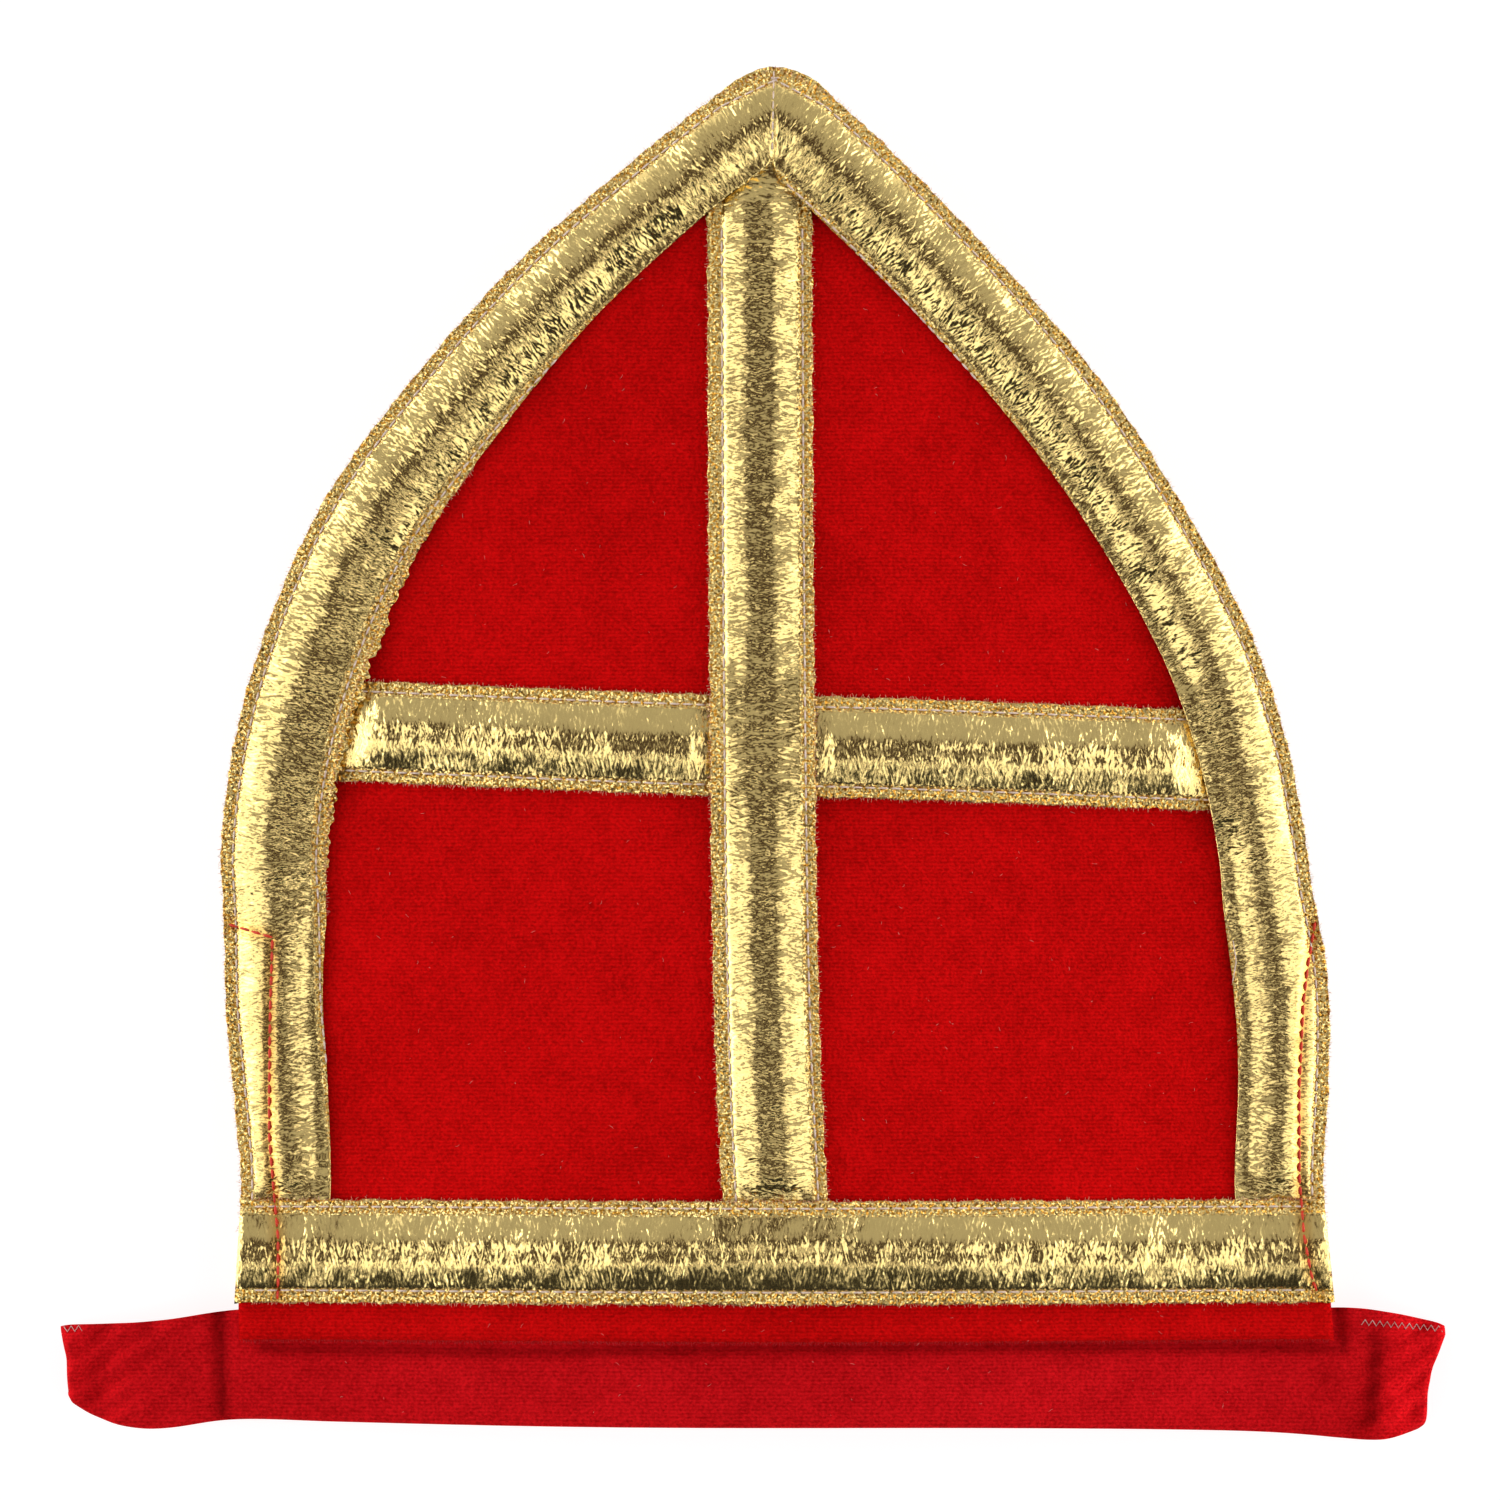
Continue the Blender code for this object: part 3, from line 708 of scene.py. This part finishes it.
def frayed_spots(node, run, pitch, up):
    """Where fibres stand out of both cut edges, and which way."""
    roots, ways = [], []
    for from_high in (False, True):
        for t in np.arange(run.ends[0], run.ends[1], pitch):
            x, y = run.place(t, 0.0003, from_high)
            x_in, y_in = run.place(t, 0.0010, from_high)
            hit = surface_at(node, x, y, up)
            if hit is None:
                continue
            if abs(run.read(np.array([hit]))[2 if from_high else 1][0]) < 0.0006:
                roots.append(hit)
                outward = Vector((x - x_in, y - y_in, 0.0)).normalized()
                ways.append(outward + Vector((0, 0, 0.3 * up)))
    return roots, ways


frayed = plain("frayed_knit", (0.98, 0.48, 0.30), 0.6)
seam_red = plain("red_sewing_thread", (0.95, 0.05, 0.015), 0.5)
surfaces = {}
for side, up in (("front", 1.0), ("back", -1.0)):
    for kind in ("crossbar", "upright", "arch_ribbon", "base_ribbon"):
        node = side + "_" + kind
        ribbon = cloth_from(node, node + "_foil", 3 if side == "front" else 2)
        points, normals = points_of(ribbon)
        low, high = points.min(0), points.max(0)
        if kind == "arch_ribbon":
            run = ArchRun(points)
        elif kind == "upright":
            run = StraightRun(points, 1, low[1] + 0.004, high[1] - 0.016)
        else:
            run = StraightRun(points, 0, low[0] + 0.004, high[0] - 0.004)
        along, inset, other = run.read(points)
        edge = np.minimum(inset, other)
        facing = np.clip(up * normals[:, 2] * 2.0, 0.0, 1.0)
        pucker = 0.75 + 0.25 * np.cos(2 * math.pi * along / STITCH_PITCH)
        low_inset, high_inset = STITCH_INSETS[kind]
        sewn = np.minimum(np.abs(inset - low_inset), np.abs(other - high_inset))
        groove = GROOVE_DEPTH * np.exp(-((sewn / GROOVE_SPREAD) ** 2)) * pucker
        padded = np.clip((edge - PAD_INSET) / PAD_SLOPE, 0.0, 1.0)
        seed = seed_of(node)
        wrinkle = ripple(
            along, inset, [(0.0013, 0.15), (0.0018, 0.2), (0.0025, 0.3), (0.004, 0.4)], seed
        )
        slow = ripple(
            along, inset, [(0.011, 0.6), (0.019, 0.8), (0.034, 1.0), (0.055, 1.0)], seed + 1
        )
        crown = CROWN * np.exp(-(((edge - CROWN_INSET) / CROWN_SPREAD) ** 2))
        if node == "front_arch_ribbon":
            full = np.clip((points[:, 1] - FOOT_TOP) / 0.010, 0.0, 1.0)
            spread = np.where(inset < ARCH_CROWN_INSET, *ARCH_CROWN_SPREADS)
            crown = ARCH_CROWN * full * np.exp(-(((inset - ARCH_CROWN_INSET) / spread) ** 2))
        seam = np.zeros(len(points))
        if side == "front" and kind in ("arch_ribbon", "base_ribbon"):
            groove = groove + pulled_in(points)
            seam = np.maximum(
                near_line(points, LEFT_SEAM, GLOW_SPREAD), near_line(points, RIGHT_SEAM, GLOW_SPREAD)
            )
        outward = np.column_stack(
            [
                run.read(points + (NUDGE, 0, 0))[1] - inset,
                run.read(points + (0, NUDGE, 0))[1] - inset,
            ]
        )
        outward *= np.where(inset < other, -1.0, 1.0)[:, None] / NUDGE
        wander = ripple(along, inset, [(0.003, 0.2), (0.006, 0.2), (0.013, 0.2)], seed + 2)
        points[:, :2] += outward * (EDGE_WANDER * wander * np.exp(-edge / EDGE_REACH))[:, None]
        height = padded * (FINE_WRINKLE * wrinkle + SLOW_SWELL * slow) + crown - groove
        points[:, 2] += up * facing * height
        points[:, 2] = np.maximum(points[:, 2], 0.0)
        lay_map(ribbon, "run", np.column_stack([along, inset]))
        lay_map(ribbon, "edge", np.column_stack([edge, seam]))
        finish_cloth(ribbon, points, gold, "gold_ribbon", node)
        surfaces[node] = BVHTree.FromPolygons(
            points.tolist(), [p.vertices[:] for p in ribbon.data.polygons]
        )
        stitches = stitches_of(node, run, low_inset, False, up)
        stitches += stitches_of(node, run, high_inset, True, up)
        tubes(node + "_stitches", stitches, THREAD_RADIUS, 6, thread)
        roots, ways = frayed_spots(node, run, FRAY_PITCH if side == "front" else 0.002, up)
        fibres(node + "_frayed_edge", roots, ways, FRAY_LENGTH, FRAY_RADIUS, seed, frayed)

# Side seams and mitre: the two panels are sewn together through the ribbons with red thread, which
# pulls the foil in and starts in a short tack at the left. The arch's corner is sewn in pale thread.


def top_of(x, y, kinds):
    """The highest front surface at a place."""
    hits = [
        surfaces[k].ray_cast(Vector((x, y, 1.0)), Vector((0, 0, -1)))[0] for k in kinds if k in surfaces
    ]
    hits = [h for h in hits if h is not None]
    return max(hits, key=lambda h: h.z) if hits else None


def sewn_along(name, corners, pitch, radius, material, lift):
    """A row of stitches along a line on the front."""
    spots = [top_of(x, y, surfaces) for x, y in walk(corners, pitch / 5)]
    lines = []
    for i in range(0, len(spots) - 4, 5):
        stitch = spots[i : i + 5]
        if all(s is not None for s in stitch):
            rises = (-0.0001, 0.7 * lift, lift, 0.7 * lift, -0.0001)
            lines.append([s + Vector((0, 0, r)) for s, r in zip(stitch, rises)])
    return tubes(name, lines, radius, 6, material)


for name, corners in (("left_side_seam", LEFT_SEAM), ("right_side_seam", RIGHT_SEAM)):
    sewn_along(name, corners, 0.0026, 0.00027, seam_red, 0.00030)
mitre_line = ((MITRE_X * 1000, 254.0), (MITRE_X * 1000 - 0.4, 236.0))
sewn_along("mitre_seam", mitre_line, 0.0022, 0.00016, thread, 0.0003)

# Headband: one loop of the same velour, doubled, longer than the mitre is wide, and lapped at the
# front left. The mitre's hem is sewn inside it, and its ends stick out at both sides.
BAND_MIDDLE = -0.0065
SEWN_REACH = 0.122
SEWN_RIPPLE = 0.00008
LOOSE_RIPPLE = 0.0010
PAINTED_SHEEN_FROM = 0.126
FULL_SHADE_DEPTH = 0.0011
# Creases dented into the band: the line in millimetres, how deep, and how wide. Along each, the pile's
# colour is also darkened as painted shade, less for shallow ones; the last is the valley under the
# hem's fold.
BAND_CREASES = (
    (((-121.5, -13.0), (-121.0, -36.0)), 0.0012, 0.0018),
    (((119.7, -13.0), (120.4, -21.0)), 0.0012, 0.0014),
    (((127.8, -20.0), (127.2, -36.0)), 0.0008, 0.0020),
    (((-137.0, -16.0), (-128.0, -30.0)), 0.0002, 0.0030),
    (
        ((-112.0, -20.9), (-60.0, -21.6), (0.0, -20.4), (60.0, -20.2), (118.0, -21.0)),
        0.0009,
        0.0012,
    ),
)
# Each free end lies drawn in: from where along the band, at which rows, and to what share.
RIGHT_END = (0.128, (-0.0418, -0.0377, -0.0304, -0.0256, -0.0183), (0.54, 0.73, 0.74, 0.80, 1.0))
LEFT_END = (-0.144, (-0.0360, -0.0304, -0.0231, -0.0159), (1.0, 0.84, 0.86, 1.0))
band_red = velour("headband_velour", (0.40, 0.0022, 0.0038), (0.80, 0.0076, 0.0128))
band = cloth_from("headband", "headband_velour", 3)
points, normals = points_of(band)
loose = np.clip((np.abs(points[:, 0] - BAND_MIDDLE) - SEWN_REACH) / 0.012, 0.0, 1.0)
folds = ripple(points[:, 0], points[:, 1], [(0.016, 1.2), (0.026, 0.8), (0.011, 2.0)], 11)
points[:, 2] += (SEWN_RIPPLE + LOOSE_RIPPLE * loose) * folds
seen = normals[:, 2] > 0.3
# Painted shade: the pile's colour is darkened along the dents, in proportion to their depth.
pressed = np.zeros(len(points))
for crease, depth, spread in BAND_CREASES:
    dent = near_line(points, crease, spread) * seen
    points[:, 2] -= depth * dent
    pressed = np.maximum(pressed, dent * min(1.0, depth / FULL_SHADE_DEPTH))
# Painted sheen: the pile's colour is brightened towards the band's right end, unevenly with its folds,
# where there is no painted shade.
painted_sheen = np.clip((points[:, 0] - PAINTED_SHEEN_FROM) / 0.006, 0.0, 1.0)
painted_sheen *= np.clip(0.75 + 0.4 * folds, 0.0, 1.0)
pressed -= 0.9 * painted_sheen * (1.0 - pressed)
for root, rows, shares in (RIGHT_END, LEFT_END):
    way = math.copysign(1.0, root)
    past = np.clip((points[:, 0] - root) * way, 0.0, None)
    points[:, 0] -= way * past * (1.0 - np.interp(points[:, 1], rows, shares))
lay_map(band, "pressed", np.column_stack([pressed, pressed]))
finish_cloth(band, points, band_red, "band_velour", "headband")

band_shape = BVHTree.FromPolygons(points.tolist(), [p.vertices[:] for p in band.data.polygons])
surfaces["headband"] = band_shape
panel = bpy.data.objects["front_panel_velour"]
points, normals = points_of(panel)
surfaces["front_panel"] = BVHTree.FromPolygons(
    points.tolist(), [p.vertices[:] for p in panel.data.polygons]
)

# Loose ends: serging at the band's two ends, fuzz where the hem is folded, lint on the pile, and
# one stray thread that hangs out from under the right side of the arch.
serged = []
for start, end in (((124.6, -15.3), (142.2, -16.9)), ((-156.0, -17.0), (-150.5, -16.6))):
    row = walk((start, end), 0.0008)
    for i, (x, y) in enumerate(row):
        serged.append(top_of(x, y + (0.0005 if i % 2 else -0.0007), ("headband",)))
lines, line = [], []
for spot in serged + [None]:
    if spot is None:
        if len(line) > 2:
            lines.append(line)
        line = []
    else:
        line.append(spot + Vector((0, 0, 0.00012)))
tubes("serged_ends", lines, 0.00013, 5, plain("pink_serging_thread", (0.92, 0.55, 0.50), 0.6))

fuzz_red = plain("velour_fuzz", (0.60, 0.006, 0.012), 0.8)
low_edge = StraightRun(points[points[:, 1] < 0.0], 0, -0.112, 0.112)
roots, ways = [], []
for x in np.arange(-0.120, 0.118, 0.00025):
    spot = top_of(x, low_edge.place(x, 0.0004, False)[1], ("front_panel",))
    if spot is not None:
        roots.append(spot)
        ways.append(Vector((0, -1.0, 0.5)))
fibres("hem_fuzz", roots, ways, 0.0009, 0.00005, 21, fuzz_red)

draw = np.random.default_rng(31)
roots, ways = [], []
for x, y in draw.uniform((-0.100, -0.035), (0.100, 0.230), (420, 2)):
    spot = top_of(x, y, surfaces)
    soft = [top_of(x, y, (k,)) for k in ("front_panel", "headband")]
    if spot is not None and any(s is not None and abs(s.z - spot.z) < 1e-6 for s in soft):
        roots.append(spot + Vector((0, 0, 0.0001)))
        ways.append(Vector((*draw.normal(0, 1, 2), 0.1)))
fibres("lint", roots, ways, 0.0009, 0.00004, 32, plain("pale_lint", (0.95, 0.45, 0.40), 0.8))
stray = [top_of(x, y, surfaces) for x, y in walk(((96.9, 66.8), (97.6, 62.5), (96.7, 57.1)), 0.0012)]
tubes("stray_thread", [[s + Vector((0, 0, 0.0004)) for s in stray]], 0.00013, 5, thread)

# Floor, light and camera: a white floor that glows a little, two long soft lights at the sides and
# a small one at the near side, in a room with bright walls and a dim brown ceiling. The camera
# looks straight down from far off.
FLOOR_GAP = 0.0001
FLOOR_REACH = 3.0
floor_mesh = bpy.data.meshes.new("floor")
floor_z = cad_bounds[0][2] - FLOOR_GAP
floor_mesh.from_pydata(
    [(x * FLOOR_REACH, y * FLOOR_REACH, floor_z) for x, y in ((-1, -1), (1, -1), (1, 1), (-1, 1))],
    [],
    [(0, 1, 2, 3)],
)
floor = bpy.data.objects.new("floor", floor_mesh)
bpy.context.scene.collection.objects.link(floor)
paper = bpy.data.materials.new("white_paper")
paper.use_nodes = True
shader = paper.node_tree.nodes["Principled BSDF"]
shader.inputs["Base Color"].default_value = (0.3, 0.3, 0.3, 1)
shader.inputs["Roughness"].default_value = 0.9
shader.inputs["Emission Color"].default_value = (1.0, 1.0, 1.0, 1)
shader.inputs["Emission Strength"].default_value = 0.84
floor_mesh.materials.append(paper)

scene = bpy.context.scene
scene.world = bpy.data.worlds.new("studio")
scene.world.use_nodes = True
sky = scene.world.node_tree
way = wire(sky, "TexCoord", {}, {})
way = wire(sky, "SeparateXYZ", {}, {0: way.outputs["Generated"]})


def ramp(value, start, end, low, high):
    """A soft step of the room's brightness."""
    return wire(
        sky,
        "MapRange",
        {"interpolation_type": "SMOOTHSTEP"},
        {"Value": value, "From Min": start, "From Max": end, "To Min": low, "To Max": high},
    ).outputs[0]


def room(operation, first, second):
    """One sum of the room's brightness."""
    return wire(sky, "Math", {"operation": operation}, {0: first, 1: second}).outputs[0]


east, north, overhead = way.outputs[0], way.outputs[1], way.outputs[2]
beside = room("ABSOLUTE", east, 0.0)
ceiling = room("MULTIPLY", ramp(north, -0.40, -0.30, 0.0, 1.0), ramp(north, 0.26, 0.38, 1.0, 0.0))
ceiling = room("MULTIPLY", ceiling, ramp(beside, 0.60, 0.72, 1.0, 0.0))
ceiling = room("SUBTRACT", 1.0, room("MULTIPLY", 0.90, ceiling))
near_side = room("SUBTRACT", 1.0, room("MULTIPLY", 0.96, ramp(north, -0.60, -0.47, 1.0, 0.0)))
near_side = room("MAXIMUM", near_side, ramp(beside, 0.6, 0.75, 0.0, 1.0))
walls = room("MULTIPLY", ramp(beside, 0.74, 0.88, 0.38, 1.7), ramp(north, 0.30, 0.45, 1.0, 1.35))
walls = room("MULTIPLY", walls, ramp(overhead, 0.22, 0.45, 2.4, 1.0))
bright = room("MULTIPLY", walls, room("MULTIPLY", ceiling, near_side))
sky.links.new(bright, sky.nodes["Background"].inputs[1])
brown = wire(
    sky,
    "Mix",
    {"data_type": "RGBA"},
    {0: ceiling, 6: (1.0, 0.42, 0.26, 1), 7: (1.0, 1.0, 1.0, 1)},
)
sky.links.new(brown.outputs[2], sky.nodes["Background"].inputs[0])
scene.view_settings.view_transform = "Standard"

MIDDLE = Vector((-0.0072, 0.1079, 0.0))
SIDE_LIGHT = ((1.6, 1.25), 1.62)


def soft_light(name, place, size, radiance):
    """A rectangular soft light that faces the mitre; radiance is how bright its face is."""
    data = bpy.data.lights.new(name, "AREA")
    data.shape = "RECTANGLE"
    data.size, data.size_y = size
    data.energy = radiance * math.pi * size[0] * size[1]
    light = bpy.data.objects.new(name, data)
    scene.collection.objects.link(light)
    light.location = MIDDLE + Vector(place)
    light.rotation_euler = (-Vector(place)).to_track_quat("-Z", "Y").to_euler()
    light.visible_camera = False


soft_light("left_light", (-1.45, -0.40, 1.76), *SIDE_LIGHT)
soft_light("right_light", (1.45, -0.40, 1.76), *SIDE_LIGHT)
soft_light("near_light", (0.0, -0.80, 2.0), (0.7, 0.6), 1.1)

eye = bpy.data.cameras.new("camera")
eye.sensor_width = 36.0
eye.lens = 444.25
camera = bpy.data.objects.new("camera", eye)
scene.collection.objects.link(camera)
camera.location = MIDDLE + Vector((0, 0, 4.0))
scene.camera = camera
